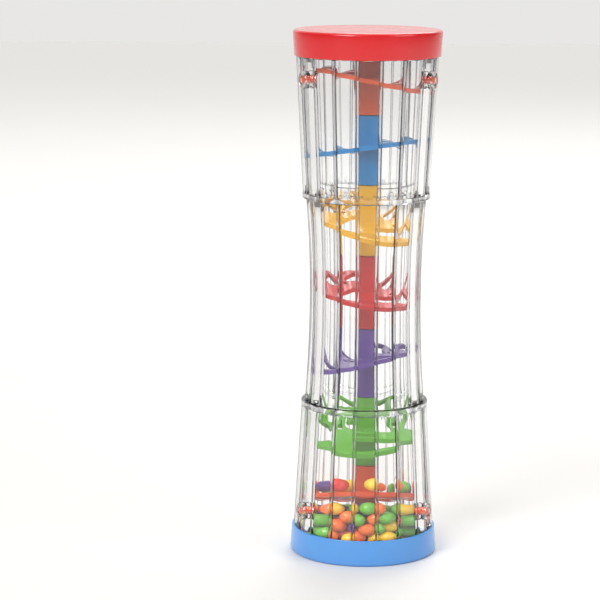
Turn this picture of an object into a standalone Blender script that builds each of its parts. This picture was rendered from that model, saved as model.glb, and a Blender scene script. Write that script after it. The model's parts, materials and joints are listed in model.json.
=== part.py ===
"""Rainstick toy: a clear fluted hourglass tube with a stack of coloured tilted baffles and loose beads.

The tube stands on its blue end cap. The origin is the middle of that cap's flat end face and +Z runs up
the axis. Azimuths are measured from the front (-Y) towards the right (+X).
"""

import math

import bmesh
import bpy

# Overall sizes, in metres. The other radii and heights follow from these two
HEIGHT = 0.210
TUBE_CREST_R = 0.0282
CAP_R = TUBE_CREST_R + 0.0013
CAP_LIP_R = TUBE_CREST_R + 0.0007
CAP_H = 0.0103
CAP_FLOOR = 0.0024
CAP_EDGE = 0.0012

# Clear tube: radii are over the crowns of the convex flutes, heights of the two joints are from the base
JOINT_CREST_R = TUBE_CREST_R * 0.8936
WAIST_END_CREST_R = JOINT_CREST_R - 0.0012
WAIST_CREST_R = TUBE_CREST_R * 0.79
UPPER_JOINT_Z = HEIGHT * 0.6876
LOWER_JOINT_Z = HEIGHT * 0.2914
WALL = 0.0014
FLUTES = 18
FLUTE_DEPTH = 0.0007
RIB_WIDTH = 0.0016
RIB_HEIGHT = 0.0006
COLLAR_H = 0.0022
COLLAR_PROUD = 0.0002
SPIGOT_H = 0.0030
WAIST_STEPS = 6

# Round eyelets near the ends, their pins, and the lugs on the joint collars
EYELET_AZIMUTH = math.radians(60)
EYELETS = 3
EYELET_FROM_END = 0.0188
EYELET_R = 0.0035
EYELET_HOLE_R = EYELET_R / 2
EYELET_PROUD = 0.0016
PIN_HEAD_R = EYELET_HOLE_R + 0.00095
PIN_HEAD_T = 0.0008
LUG_AZIMUTH = math.radians(66)
LUG_R = 0.0019
LUG_PROUD = 0.0010

# Baffle stack
COLUMN_R = 0.0047
ROD_R = COLUMN_R - 0.0024
BORE_R = ROD_R + 0.0003
PLATE_T = 0.0018
HUB_R = COLUMN_R + 0.0043
RIM_W = 0.0020
SECTORS = 24
ARMS = 4
CELLS_PER_ARM = SECTORS // ARMS
ARM_TURN = math.radians(22)
LEAF = 0.0035

# Beads
BEAD_R = 0.0026
BED_LAYERS = 3
BED_RINGS = 2
BED_TRAVEL = 0.0020
OUTER_LOOSE = 10
INNER_LOOSE = 6
LOOSE_STEP = 2.7 * BEAD_R

# The lowest plate leaves room for the bead bed, and the other plates share what is left of the height
LOWEST_PLATE_Z = CAP_FLOOR + 7.154 * BEAD_R
PITCH = (HEIGHT / 2 - LOWEST_PLATE_Z) / 3
MIDDLE_EXTRA = 0.0016

# Clearances
GAP = 0.0003
FIT = 0.0002
BAFFLE_CLEAR = 0.0006

# name, colour, rise per metre to the right, rise per metre to the back, lift over even spacing; from the top down
BAFFLES = (
    ("baffle_1_orange", "#E4603C", -0.22, -0.05, 0.0013),
    ("baffle_2_blue", "#2D8CC3", 0.15, -0.105, 0.0024),
    ("baffle_3_yellow", "#E3B43C", -0.25, 0.28, 0.0016),
    ("baffle_4_red", "#CD3732", -0.16, 0.18, 0.0010),
    ("baffle_5_purple", "#73559B", 0.25, -0.06, 0.0012),
    ("baffle_6_green", "#78B44E", 0.06, 0.34, 0.0011),
    ("baffle_7_orange", "#E4603C", 0.0, -0.32, 0.0),
)
BEAD_COLOURS = ("#F2C230", "#F07A35", "#6DB64A", "#6B4A94", "#DC3C34")


def linear(hex_colour):
    """sRGB hex string to linear RGBA."""
    parts = [int(hex_colour[i : i + 2], 16) / 255 for i in (1, 3, 5)]
    return [c / 12.92 if c <= 0.04045 else ((c + 0.055) / 1.055) ** 2.4 for c in parts] + [1.0]


def plastic(name, hex_colour, roughness, transmission=0.0):
    """A Principled plastic, looked up if it is already there."""
    found = bpy.data.materials.get(name)
    if found:
        return found
    made = bpy.data.materials.new(name)
    made.use_nodes = True
    shader = made.node_tree.nodes["Principled BSDF"]
    shader.inputs["Base Color"].default_value = linear(hex_colour)
    shader.inputs["Roughness"].default_value = roughness
    shader.inputs["Metallic"].default_value = 0.0
    shader.inputs["Transmission Weight"].default_value = transmission
    made.diffuse_color = linear(hex_colour)
    return made


def add_object(name, points, faces, surface, parent=None, at=(0, 0, 0)):
    """One closed mesh object, shaded smooth except at its sharp edges."""
    mesh = bpy.data.meshes.new(name)
    mesh.from_pydata(points, [], faces)
    shape = bmesh.new()
    shape.from_mesh(mesh)
    bmesh.ops.recalc_face_normals(shape, faces=shape.faces)
    shape.to_mesh(mesh)
    shape.free()
    mesh.shade_smooth()
    mesh.set_sharp_from_angle(angle=math.radians(35))
    mesh.materials.append(surface)
    made = bpy.data.objects.new(name, mesh)
    bpy.context.scene.collection.objects.link(made)
    made.location = at
    made.parent = parent
    return made


def polar(radius, azimuth, z):
    """A point at this radius and azimuth, measured from -Y towards +X."""
    return (radius * math.sin(azimuth), -radius * math.cos(azimuth), z)


def crest_radius(z):
    """Radius over the crowns of the clear tube at height z."""
    middle = HEIGHT / 2
    if LOWER_JOINT_Z <= z <= UPPER_JOINT_Z:
        joint = UPPER_JOINT_Z if z > middle else LOWER_JOINT_Z
        share = (z - middle) / (joint - middle)
        return WAIST_CREST_R + (WAIST_END_CREST_R - WAIST_CREST_R) * share**2
    joint, end = (UPPER_JOINT_Z, HEIGHT - CAP_H) if z > middle else (LOWER_JOINT_Z, CAP_H)
    share = min(1.0, (z - joint) / (end - joint))
    return JOINT_CREST_R + (TUBE_CREST_R - JOINT_CREST_R) * share


def root_radius(z):
    """Outer radius at the feet of the flutes and ribs."""
    return crest_radius(z) - FLUTE_DEPTH


def spigot_radius():
    """Outer radius of the plain ends of the waist section, which slide into the end sections."""
    return JOINT_CREST_R - FLUTE_DEPTH - WALL - FIT


def inner_radius(z):
    """Inner radius of the clear tube at height z."""
    if UPPER_JOINT_Z <= z <= UPPER_JOINT_Z + SPIGOT_H or LOWER_JOINT_Z - SPIGOT_H <= z <= LOWER_JOINT_Z:
        return spigot_radius() - WALL
    return root_radius(z) - WALL


def fluted_ring(root, depth, z):
    """Six points for each flute: the thin rib before it (foot, top, foot), the rise, the crown and the fall."""
    foot = RIB_WIDTH / 2 / root
    rib = RIB_HEIGHT if depth else 0
    half = math.pi / FLUTES
    points = []
    for flute in range(FLUTES):
        middle = 2 * half * (flute + 0.5)
        crown = middle + half
        quarter = (half - foot) / 2
        points.append(polar(root, middle - foot, z))
        points.append(polar(root + rib, middle, z))
        points.append(polar(root, middle + foot, z))
        points.append(polar(root + 0.75 * depth, crown - quarter, z))
        points.append(polar(root + depth, crown, z))
        points.append(polar(root + 0.75 * depth, crown + quarter, z))
    return points


def plain_ring(radius, z):
    """Two points for each flute, in line with its rib and its crown."""
    count = 2 * FLUTES
    return [polar(radius, math.pi * (i + 1) / FLUTES, z) for i in range(count)]


def ring_quads(first, second, count):
    """Quads between two rings of the same count that start at these indices."""
    quads = []
    for i in range(count):
        j = (i + 1) % count
        quads.append((first + i, first + j, second + j, second + i))
    return quads


def tube_section(name, outside, inside, surface):
    """A clear section from outer stations (z, root, depth) and inner stations (z, radius), bottom to top."""
    points = []
    faces = []
    around = 6 * FLUTES
    for index, (z, root, depth) in enumerate(outside):
        points += fluted_ring(root, depth, z)
        if index:
            faces += ring_quads((index - 1) * around, index * around, around)
    inner_start = len(points)
    inner_around = 2 * FLUTES
    for index, (z, radius) in enumerate(inside):
        points += plain_ring(radius, z)
        if index:
            start = inner_start + (index - 1) * inner_around
            faces += ring_quads(start, start + inner_around, inner_around)
    last_outer = (len(outside) - 1) * around
    last_inner = inner_start + (len(inside) - 1) * inner_around
    for outer, inner in ((0, inner_start), (last_outer, last_inner)):
        for flute in range(FLUTES):
            foot, top, foot_2, rise, crown, fall = (outer + 6 * flute + k for k in range(6))
            next_foot = outer + (6 * flute + 6) % around
            near, middle, far = (inner + (2 * flute + k) % inner_around for k in range(3))
            faces.append((foot, top, near))
            faces.append((top, foot_2, near))
            faces.append((foot_2, rise, near))
            faces.append((rise, crown, middle, near))
            faces.append((crown, fall, middle))
            faces.append((fall, next_foot, far, middle))
    return add_object(name, points, faces, surface)


def radial_cylinder(name, radius, inner, outer, azimuth, z, sides=16):
    """A cylinder that points away from the axis, from one radius to another."""
    bpy.ops.mesh.primitive_cylinder_add(vertices=sides, radius=radius, depth=outer - inner)
    made = bpy.context.object
    made.name = name
    made.location = polar((inner + outer) / 2, azimuth, z)
    made.rotation_euler = (math.pi / 2, 0, azimuth)
    made.hide_render = True
    made.display_type = "WIRE"
    return made


def cut_or_join(target, tool, operation):
    """An exact Boolean on the target with a hidden tool."""
    modifier = target.modifiers.new(f"{operation.lower()} {tool.name}", "BOOLEAN")
    modifier.operation = operation
    modifier.solver = "EXACT"
    modifier.object = tool


def add_eyelets(section, z):
    """Round bosses with a hole through them, one to a third of a turn."""
    wall = root_radius(z)
    for k in range(EYELETS):
        azimuth = EYELET_AZIMUTH + 2 * math.pi * k / EYELETS
        outer = crest_radius(z) + EYELET_PROUD
        boss = radial_cylinder(f"{section.name}_boss_{k}", EYELET_R, wall - WALL / 2, outer, azimuth, z)
        cut_or_join(section, boss, "UNION")
        beyond = wall - 3 * WALL
        hole = radial_cylinder(
            f"{section.name}_hole_{k}", EYELET_HOLE_R, beyond, outer + WALL, azimuth, z, 12
        )
        cut_or_join(section, hole, "DIFFERENCE")


def add_lugs(section, z):
    """Small rounded lugs on a joint collar, one to a third of a turn."""
    collar = JOINT_CREST_R + COLLAR_PROUD
    root = WAIST_END_CREST_R + FIT
    for k in range(EYELETS):
        azimuth = LUG_AZIMUTH + 2 * math.pi * k / EYELETS
        lug = radial_cylinder(f"{section.name}_lug_{k}", LUG_R, root, collar + LUG_PROUD, azimuth, z, 12)
        cut_or_join(section, lug, "UNION")


def end_section(name, joint, end, surface):
    """An end section of the tube: a collar at the joint, flutes to the cap, a plain spigot in the cap."""
    up = 1 if end > joint else -1
    mouth = end + up * (CAP_H - CAP_FLOOR - GAP)
    flutes_end = end - up * GAP
    collar_end = joint + up * COLLAR_H
    collar_r = JOINT_CREST_R + COLLAR_PROUD
    middle = (joint + end) / 2
    spigot_r = TUBE_CREST_R - FLUTE_DEPTH - FIT
    outside = [
        (joint, collar_r, 0),
        (collar_end, collar_r, 0),
        (collar_end + up * FIT, root_radius(collar_end), FLUTE_DEPTH),
        (middle, root_radius(middle), FLUTE_DEPTH),
        (flutes_end, root_radius(flutes_end), FLUTE_DEPTH),
        (flutes_end + up * FIT, spigot_r, 0),
        (mouth, spigot_r, 0),
    ]
    joint_bore = JOINT_CREST_R - FLUTE_DEPTH - WALL
    inside = [
        (joint, joint_bore),
        (joint + up * SPIGOT_H, joint_bore),
        (middle, root_radius(middle) - WALL),
        (mouth, spigot_r - WALL),
    ]
    if up < 0:
        outside.reverse()
        inside.reverse()
    section = tube_section(name, outside, inside, surface)
    add_lugs(section, joint + up * COLLAR_H / 2)
    add_eyelets(section, EYELET_FROM_END if up < 0 else HEIGHT - EYELET_FROM_END)
    return section


def waist_section(surface):
    """The narrow middle section: flutes between the collars and a plain spigot at each end."""
    spigot = spigot_radius()
    low = LOWER_JOINT_Z + GAP
    high = UPPER_JOINT_Z - GAP
    heights = [low + (high - low) * i / WAIST_STEPS for i in range(WAIST_STEPS + 1)]
    outside = [(LOWER_JOINT_Z - SPIGOT_H, spigot, 0), (low - FIT, spigot, 0)]
    outside += [(z, root_radius(z), FLUTE_DEPTH) for z in heights]
    outside += [(high + FIT, spigot, 0), (UPPER_JOINT_Z + SPIGOT_H, spigot, 0)]
    inside = [(LOWER_JOINT_Z - SPIGOT_H, spigot - WALL), (low, spigot - WALL)]
    inside += [(z, root_radius(z) - WALL) for z in heights[1:-1]]
    inside += [(high, spigot - WALL), (UPPER_JOINT_Z + SPIGOT_H, spigot - WALL)]
    return tube_section("shell_waist", outside, inside, surface)


def turned(name, profile, segments, surface, parent=None, at=(0, 0, 0)):
    """A solid of revolution about Z from (radius, z) points, whose first and last points are on the axis."""
    points = [(0, 0, profile[0][1])]
    faces = []
    rings = profile[1:-1]
    for radius, z in rings:
        points += [polar(radius, 2 * math.pi * i / segments, z) for i in range(segments)]
    points.append((0, 0, profile[-1][1]))
    last = len(points) - 1
    top_ring = 1 + (len(rings) - 1) * segments
    for i in range(segments):
        j = (i + 1) % segments
        faces.append((0, 1 + i, 1 + j))
        faces.append((last, top_ring + i, top_ring + j))
    for index in range(len(rings) - 1):
        start = 1 + index * segments
        faces += ring_quads(start, start + segments, segments)
    return add_object(name, points, faces, surface, parent, at)


def end_cap(name, face_z, up, surface):
    """A push-on cap: flat outer face, rounded edge, a socket for the tube and a blind hole for the rod."""
    socket = TUBE_CREST_R - FLUTE_DEPTH + FIT
    round_steps = 3
    outline = [(0, 0)]
    for i in range(round_steps + 1):
        turn = math.pi / 2 * i / round_steps
        outline.append((CAP_R - CAP_EDGE + CAP_EDGE * math.sin(turn), CAP_EDGE * (1 - math.cos(turn))))
    outline += [(CAP_LIP_R, CAP_H), (socket, CAP_H), (socket, CAP_FLOOR)]
    outline += [(BORE_R, CAP_FLOOR), (BORE_R, CAP_FLOOR / 2), (0, CAP_FLOOR / 2)]
    profile = [(radius, face_z - up * depth) for radius, depth in outline]
    return turned(name, profile, 2 * FLUTES, surface)


def baffle_height(index):
    """Height of the middle of a baffle's plate; 0 is the top one."""
    return HEIGHT / 2 + PITCH * ((len(BAFFLES) - 1) / 2 - index) + BAFFLES[index][4]


def baffle_radius(index):
    """Largest plate radius that clears the tube, and the pin heads at the ends, wherever the rim reaches."""
    _, _, right, back, _ = BAFFLES[index]
    slope = math.hypot(right, back)
    middle = baffle_height(index)
    reach = slope * inner_radius(middle) + PLATE_T / 2
    heights = [middle + reach * (k / 6 - 1) for k in range(13)]
    heads = PIN_HEAD_T + 2 * GAP if index in (0, len(BAFFLES) - 1) else 0
    return min(inner_radius(z) for z in heights) - BAFFLE_CLEAR - heads


def plate_height(index, x, y):
    """Height of the plate's middle plane over the point x, y."""
    _, _, right, back, _ = BAFFLES[index]
    return baffle_height(index) + right * x + back * y


def column_joint(index):
    """Height where a unit's piece of the column meets the next one down; the middle unit is the longest."""
    even = HEIGHT / 2 + PITCH * (len(BAFFLES) / 2 - 1 - index)
    return even + (MIDDLE_EXTRA if index < len(BAFFLES) // 2 else 0)


def column_ends(index):
    """Bottom and top of a unit's piece of the column; the end ones reach the caps."""
    low = column_joint(index) + GAP / 2
    high = column_joint(index - 1) - GAP / 2
    if index == 0:
        high = HEIGHT - CAP_FLOOR - GAP
    if index == len(BAFFLES) - 1:
        low = CAP_FLOOR + GAP
    return low, high


def baffle(index):
    """A piece of the column with a tilted plate, moulded as one; its four openings narrow to one side."""
    name, hex_colour, right, back, _ = BAFFLES[index]
    start = math.atan2(-right, back) + ARM_TURN
    rim = baffle_radius(index)
    low, high = column_ends(index)

    def ring(radius, height):
        points = []
        for i in range(SECTORS):
            taper = max(0, (i - CELLS_PER_ARM // 2 - 1) % CELLS_PER_ARM - 2) / 3 if radius == HUB_R else 0
            x, y, _ = polar(radius + LEAF * taper, start + 2 * math.pi * (i + 0.5) / SECTORS, 0)
            z = height if abs(height) > PLATE_T else plate_height(index, x, y) + height
            points.append((x, y, z))
        return points

    half = PLATE_T / 2
    stack = [(BORE_R, low), (BORE_R, high), (COLUMN_R, high), (COLUMN_R, half), (HUB_R, half)]
    stack += [(HUB_R, -half), (COLUMN_R, -half), (COLUMN_R, low)]
    points = []
    faces = []
    for radius, height in stack:
        points += ring(radius, height)
    arm_cells = [k * CELLS_PER_ARM + CELLS_PER_ARM // 2 for k in range(ARMS)]
    hub_side = 4
    for index_a in range(len(stack)):
        index_b = (index_a + 1) % len(stack)
        quads = ring_quads(index_a * SECTORS, index_b * SECTORS, SECTORS)
        if index_a == hub_side:
            quads = [quad for i, quad in enumerate(quads) if i not in arm_cells]
        faces += quads
    rim_start = len(points)
    for radius, height in ((rim - RIM_W, -half), (rim - RIM_W, half), (rim, half), (rim, -half)):
        points += ring(radius, height)
    for step in range(4):
        start = rim_start + step * SECTORS
        end = rim_start + (step + 1) % 4 * SECTORS
        quads = ring_quads(start, end, SECTORS)
        if step == 0:
            quads = [quad for i, quad in enumerate(quads) if (i - 1) % SECTORS not in arm_cells]
        faces += quads
    hub_top = hub_side * SECTORS
    hub_low = hub_top + SECTORS
    rim_low = rim_start
    rim_top = rim_start + SECTORS
    for cell in arm_cells:
        a = cell
        b = (cell + 1) % SECTORS
        c = (cell + 2) % SECTORS
        faces.append((hub_top + a, hub_top + b, rim_top + c, rim_top + b))
        faces.append((hub_low + a, hub_low + b, rim_low + c, rim_low + b))
        faces.append((hub_top + a, rim_top + b, rim_low + b, hub_low + a))
        faces.append((hub_top + b, rim_top + c, rim_low + c, hub_low + b))
    return add_object(name, points, faces, plastic(f"clear_{name}", hex_colour, 0.2, 0.4))


def core_rod(surface):
    """The rod that threads the units together and sits in the blind holes of both caps."""
    low = CAP_FLOOR / 2 + GAP
    outline = [(0, low), (ROD_R, low), (ROD_R, HEIGHT - low), (0, HEIGHT - low)]
    return turned("core_rod", outline, 12, surface)


def eyelet_pin(name, z, azimuth, surface):
    """A headed pin through an eyelet: the head is inside the tube, the end shows in the hole."""
    inner = inner_radius(z) - 2 * GAP - PIN_HEAD_T
    head = inner + PIN_HEAD_T
    tip = crest_radius(z) + EYELET_PROUD - GAP
    shank = EYELET_HOLE_R - FIT
    outline = [(0, inner), (PIN_HEAD_R, inner), (PIN_HEAD_R, head - FIT), (shank, head), (shank, tip), (0, tip)]
    made = turned(name, outline, 10, surface)
    made.rotation_euler = (math.pi / 2, 0, azimuth)
    made.location = (0, 0, z)
    return made


def bed_positions(layer, ring):
    """Radius, height, full count and kept numbers of one ring's beads: those that clear the lowest plate."""
    z = CAP_FLOOR + GAP + BEAD_R + layer * (2 * BEAD_R + GAP)
    radius = TUBE_CREST_R - FLUTE_DEPTH - FIT - WALL - BEAD_R - GAP - ring * (2 * BEAD_R + GAP)
    radius -= (TUBE_CREST_R - crest_radius(z + BEAD_R)) + PIN_HEAD_T
    count = int(2 * math.pi * radius / (2 * BEAD_R))
    lowest = len(BAFFLES) - 1
    slope = math.hypot(*BAFFLES[lowest][2:4])
    kept = []
    for i in range(count):
        azimuth = 2 * math.pi * i / count
        x, y, _ = polar(radius, azimuth, 0)
        room = plate_height(lowest, x, y) - PLATE_T / 2 - BEAD_R * (math.hypot(1, slope) + slope) - GAP
        if z + BED_TRAVEL < room:
            kept.append(i)
    return radius, z, count, kept


def bead_chain(name, layer, ring, surface, parent):
    """One ring, or an open arc, of beads that touch, as a lobed chain."""
    radius, z, count, kept = bed_positions(layer, ring)
    sides = 5
    neck = 0.45 * BEAD_R
    pitch = 2 * math.pi / count
    whole = len(kept) == count
    first = 0 if whole else next(i for i in kept if (i - 1) % count not in kept)
    links = [] if whole else [((first - 0.5) * pitch, neck)]
    for k in range(first, first + len(kept)):
        links += [(k * pitch, BEAD_R), ((k + 0.5) * pitch, neck)]
    points = []
    for azimuth, size in links:
        for s in range(sides):
            turn = 2 * math.pi * s / sides
            points.append(polar(radius + size * math.cos(turn), azimuth, size * math.sin(turn)))
    faces = []
    spans = len(links) if whole else len(links) - 1
    for index in range(spans):
        faces += ring_quads(index * sides, (index + 1) % len(links) * sides, sides)
    if not whole:
        faces.append(tuple(range(sides)))
        faces.append(tuple(range(len(points) - sides, len(points))))
    return add_object(name, points, faces, surface, parent, (0, 0, z))


def loose_places():
    """Where the loose beads lie on the lowest plate: an outer and an inner ring."""
    lowest = len(BAFFLES) - 1
    slope = math.hypot(*BAFFLES[lowest][2:4])
    lift = PLATE_T / 2 + BEAD_R * math.hypot(1, slope) + GAP
    outer = baffle_radius(lowest) - BEAD_R
    places = []
    inner = outer - LOOSE_STEP
    for count, radius, turn in ((OUTER_LOOSE, outer, 0.12), (INNER_LOOSE, inner, 0.35)):
        for i in range(count):
            x, y, _ = polar(radius, turn + 2 * math.pi * i / count, 0)
            places.append((x, y, plate_height(lowest, x, y) + lift))
    return places


def loose_bead(number, place):
    """One round bead on its own vertical slide."""
    colour = number % len(BEAD_COLOURS)
    surface = plastic(f"bead_plastic_{colour}", BEAD_COLOURS[colour], 0.25)
    slide = bpy.data.objects.new(f"slide_{number + 1:02d}", None)
    slide.location = place
    bpy.context.scene.collection.objects.link(slide)
    rings = 5
    outline = []
    for i in range(rings + 1):
        turn = math.pi * i / rings
        outline.append((BEAD_R * math.sin(turn), -BEAD_R * math.cos(turn)))
    outline[0] = (0, -BEAD_R)
    outline[-1] = (0, BEAD_R)
    return turned(f"bead_{number + 1:02d}", outline, 8, surface, slide)


def build():
    """Clears the scene and makes every piece."""
    for old in list(bpy.data.objects):
        bpy.data.objects.remove(old, do_unlink=True)
    clear = plastic("clear_tube", "#F4F8FA", 0.05, 0.9)
    end_cap("end_cap_top", HEIGHT, 1, plastic("red_cap", "#E5242B", 0.25))
    end_cap("end_cap_bottom", 0.0, -1, plastic("blue_cap", "#62A5EB", 0.25))
    end_section("shell_upper", UPPER_JOINT_Z, HEIGHT - CAP_H, clear)
    waist_section(clear)
    end_section("shell_lower", LOWER_JOINT_Z, CAP_H, clear)
    for index in range(len(BAFFLES)):
        baffle(index)
    core_rod(plastic("rod", "#E8E8E4", 0.4))
    pin_plastic = plastic("pin_orange", "#E8502C", 0.3)
    for k in range(EYELETS):
        azimuth = EYELET_AZIMUTH + 2 * math.pi * k / EYELETS
        eyelet_pin(f"pin_top_{k + 1}", HEIGHT - EYELET_FROM_END, azimuth, pin_plastic)
        eyelet_pin(f"pin_bottom_{k + 1}", EYELET_FROM_END, azimuth, pin_plastic)
    bed_slide = bpy.data.objects.new("slide_bed", None)
    bpy.context.scene.collection.objects.link(bed_slide)
    for layer in range(BED_LAYERS):
        for ring in range(BED_RINGS):
            colour = (layer * BED_RINGS + ring) % len(BEAD_COLOURS)
            surface = plastic(f"bead_plastic_{colour}", BEAD_COLOURS[colour], 0.25)
            bead_chain(f"bed_{layer + 1}_{ring + 1}", layer, ring, surface, bed_slide)
    for number, place in enumerate(loose_places()):
        loose_bead(number, place)


build()
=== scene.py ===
"""Looks for a toy rainstick: a clear fluted hourglass tube, a stack of tinted baffles, round beads, two caps.

The sizes that are not read from the frame are property defaults, in metres. Azimuths run from the front (-Y)
towards the right (+X).
"""

import json
import math

import bmesh
import bpy
import numpy as np
from mathutils import Matrix, Quaternion, Vector


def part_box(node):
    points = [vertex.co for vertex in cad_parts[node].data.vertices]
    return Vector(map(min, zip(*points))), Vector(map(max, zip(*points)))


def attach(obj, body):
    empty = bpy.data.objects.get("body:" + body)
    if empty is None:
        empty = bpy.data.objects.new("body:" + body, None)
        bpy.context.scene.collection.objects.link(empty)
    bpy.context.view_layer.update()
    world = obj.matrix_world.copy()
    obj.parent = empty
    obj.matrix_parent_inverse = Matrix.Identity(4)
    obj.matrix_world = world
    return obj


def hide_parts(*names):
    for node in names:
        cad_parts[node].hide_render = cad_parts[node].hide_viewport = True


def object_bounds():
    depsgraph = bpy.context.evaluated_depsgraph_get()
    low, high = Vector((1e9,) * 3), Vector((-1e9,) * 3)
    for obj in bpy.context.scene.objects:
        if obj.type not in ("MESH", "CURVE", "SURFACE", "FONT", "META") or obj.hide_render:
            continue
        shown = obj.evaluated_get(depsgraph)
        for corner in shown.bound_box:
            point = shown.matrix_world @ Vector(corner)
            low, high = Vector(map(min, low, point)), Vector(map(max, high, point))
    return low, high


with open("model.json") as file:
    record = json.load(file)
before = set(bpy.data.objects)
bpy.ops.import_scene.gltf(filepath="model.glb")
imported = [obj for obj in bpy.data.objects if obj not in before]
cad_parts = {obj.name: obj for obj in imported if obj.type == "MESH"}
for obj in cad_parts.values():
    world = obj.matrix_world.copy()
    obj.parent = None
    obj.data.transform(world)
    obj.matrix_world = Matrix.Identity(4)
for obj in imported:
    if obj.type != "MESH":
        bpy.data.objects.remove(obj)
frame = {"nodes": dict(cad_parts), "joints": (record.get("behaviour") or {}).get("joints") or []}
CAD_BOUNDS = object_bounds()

bl_info = {
    "name": "Toy rainstick",
    "version": (1, 0, 0),
    "blender": (4, 5, 0),
    "location": "3D View > Sidebar > Rainstick",
    "description": "Builds the visible pieces of a toy rainstick round its measured frame",
    "category": "Object",
}

HEIGHT = CAD_BOUNDS[1][2]
MIDDLE = HEIGHT / 2
UPPER_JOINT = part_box("shell_upper")[0][2]
LOWER_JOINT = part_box("shell_lower")[1][2]
CAP_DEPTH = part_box("end_cap_bottom")[1][2]
CAP_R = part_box("end_cap_bottom")[1][0]
UNITS = sorted(name for name in frame["nodes"] if name.startswith("baffle"))
LOOSE = sorted(name for name in frame["nodes"] if name.startswith("bead_"))
BED = sorted(name for name in frame["nodes"] if name.startswith("bed_"))
PINS = sorted(name for name in frame["nodes"] if name.startswith("pin_"))
MM = 0.001
CAP_FLOOR = 2.4 * MM
GAP = 0.3 * MM
FIT = 0.2 * MM


def length(name, description, default, low=0.0, high=0.5):
    """A size property in metres."""
    return bpy.props.FloatProperty(
        name=name,
        description=description,
        default=default,
        min=low,
        max=high,
        precision=5,
        subtype="DISTANCE",
        unit="LENGTH",
    )


def shade(name, description, hex_colour):
    """A colour property, given as an sRGB hex string."""
    return bpy.props.FloatVectorProperty(
        name=name,
        description=description,
        default=linear(hex_colour)[:3],
        min=0.0,
        max=1.0,
        size=3,
        subtype="COLOR",
    )


def linear(hex_colour):
    """sRGB hex string to linear RGBA."""
    parts = [int(hex_colour[i : i + 2], 16) / 255 for i in (1, 3, 5)]
    return [c / 12.92 if c <= 0.04045 else ((c + 0.055) / 1.055) ** 2.4 for c in parts] + [1.0]


class RainstickTube(bpy.types.PropertyGroup):
    """Sizes of the clear tube."""

    crest_end: length("Crown at the caps", "Radius over the flutes at the caps", 0.0282)
    crest_joint: length("Crown at the joints", "Radius over the end sections' flutes at their joint", 0.0252)
    crest_waist_end: length("Waist end crown", "Radius over the waist section's flutes at its ends", 0.0240)
    crest_waist: length("Waist crown", "Radius over the flutes at the narrowest place", 0.0223)
    wall: length("Wall", "Thickness of the wall at the feet of the flutes", 0.0014)
    depth: length("Flute depth", "How far a flute's crown stands over its feet", 0.0007)
    rib_width: length("Rib width", "Width of the thin rib between two flutes", 0.0016)
    rib_height: length("Rib height", "How far a rib stands over its feet", 0.0006)
    collar: length("Collar height", "Height of the plain ring at each joint", 0.0022)
    spigot: length("Spigot length", "How far the waist section slides into an end section", 0.0030)
    flutes: bpy.props.IntProperty(
        name="Flutes", description="Flutes round the tube", default=18, min=6, max=60
    )


class RainstickUnits(bpy.types.PropertyGroup):
    """Sizes of the baffle units and the rod through them."""

    column: length("Column radius", "Outer radius of the coloured column", 0.0047)
    bore: length("Bore radius", "Radius of the hole for the rod", 0.0026)
    plate: length("Plate thickness", "Thickness of a tilted plate", 0.0018)
    hub: length("Hub radius", "Outer radius of the solid middle of a plate", 0.0090)
    rim: length("Rim width", "Width of the plate's outer ring", 0.0020)
    leaf: length("Opening taper", "How far the hub reaches out at the narrow end of each opening", 0.0040)
    arms: bpy.props.IntProperty(
        name="Arms", description="Curved arms between hub and rim", default=4, min=2, max=9
    )
    arm_turn: bpy.props.FloatProperty(
        name="Arm turn",
        description="Angle from a plate's low side to the middle of the nearest opening",
        default=math.radians(22),
        subtype="ANGLE",
    )
    swirl: bpy.props.FloatProperty(
        name="Swirl",
        description="How far an arm turns between hub and rim",
        default=math.radians(24),
        subtype="ANGLE",
    )


class RainstickBeads(bpy.types.PropertyGroup):
    """Sizes and number of the beads."""

    radius: length("Bead radius", "Radius of a bead", 0.0026)
    count: bpy.props.IntProperty(
        name="Beads in the bed", description="Beads under the lowest plate", default=236, min=1
    )
    seed: bpy.props.IntProperty(name="Seed", description="Seed of the bead bed", default=11)


class RainstickColours(bpy.types.PropertyGroup):
    """Colours of the caps, plates and beads."""

    cap_top: shade("Top cap", "Red end cap", "#E01F26")
    cap_bottom: shade("Bottom cap", "Blue end cap", "#5AA0EA")
    orange: shade("Orange units", "First and last baffle unit", "#F25A1A")
    blue: shade("Blue unit", "Second baffle unit", "#008ACC")
    yellow: shade("Yellow unit", "Third baffle unit", "#F6BA00")
    red: shade("Red unit", "Middle baffle unit", "#D00606")
    purple: shade("Purple unit", "Fifth baffle unit", "#68429C")
    green: shade("Green unit", "Sixth baffle unit", "#64B424")
    bead_yellow: shade("Yellow beads", "Bead colour", "#F4C226")
    bead_orange: shade("Orange beads", "Bead colour", "#F4702A")
    bead_green: shade("Green beads", "Bead colour", "#6CB83E")
    bead_purple: shade("Purple beads", "Bead colour", "#5F3F92")
    bead_red: shade("Red beads", "Bead colour", "#DC342E")
    floor: shade("Floor", "Pale studio floor", "#F1EFEC")


class RainstickStudio(bpy.types.PropertyGroup):
    """Camera and light."""

    lens: bpy.props.FloatProperty(name="Lens", description="Focal length in millimetres", default=144.0)
    distance: length("Camera distance", "From the camera to the middle of the tube", 0.96, 0.1, 5.0)
    elevation: bpy.props.FloatProperty(
        name="Camera elevation", description="Height angle", default=math.radians(10.0), subtype="ANGLE"
    )
    side: length("Aim to the left", "How far left of the tube the camera aims", 0.0261)
    roll: bpy.props.FloatProperty(
        name="Camera roll",
        description="Turn about the line of sight",
        default=math.radians(0.3),
        subtype="ANGLE",
    )
    drop: length("Aim below the middle", "How far below the middle the camera aims", 0.0030)


# ---------------------------------------------------------------- materials


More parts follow.
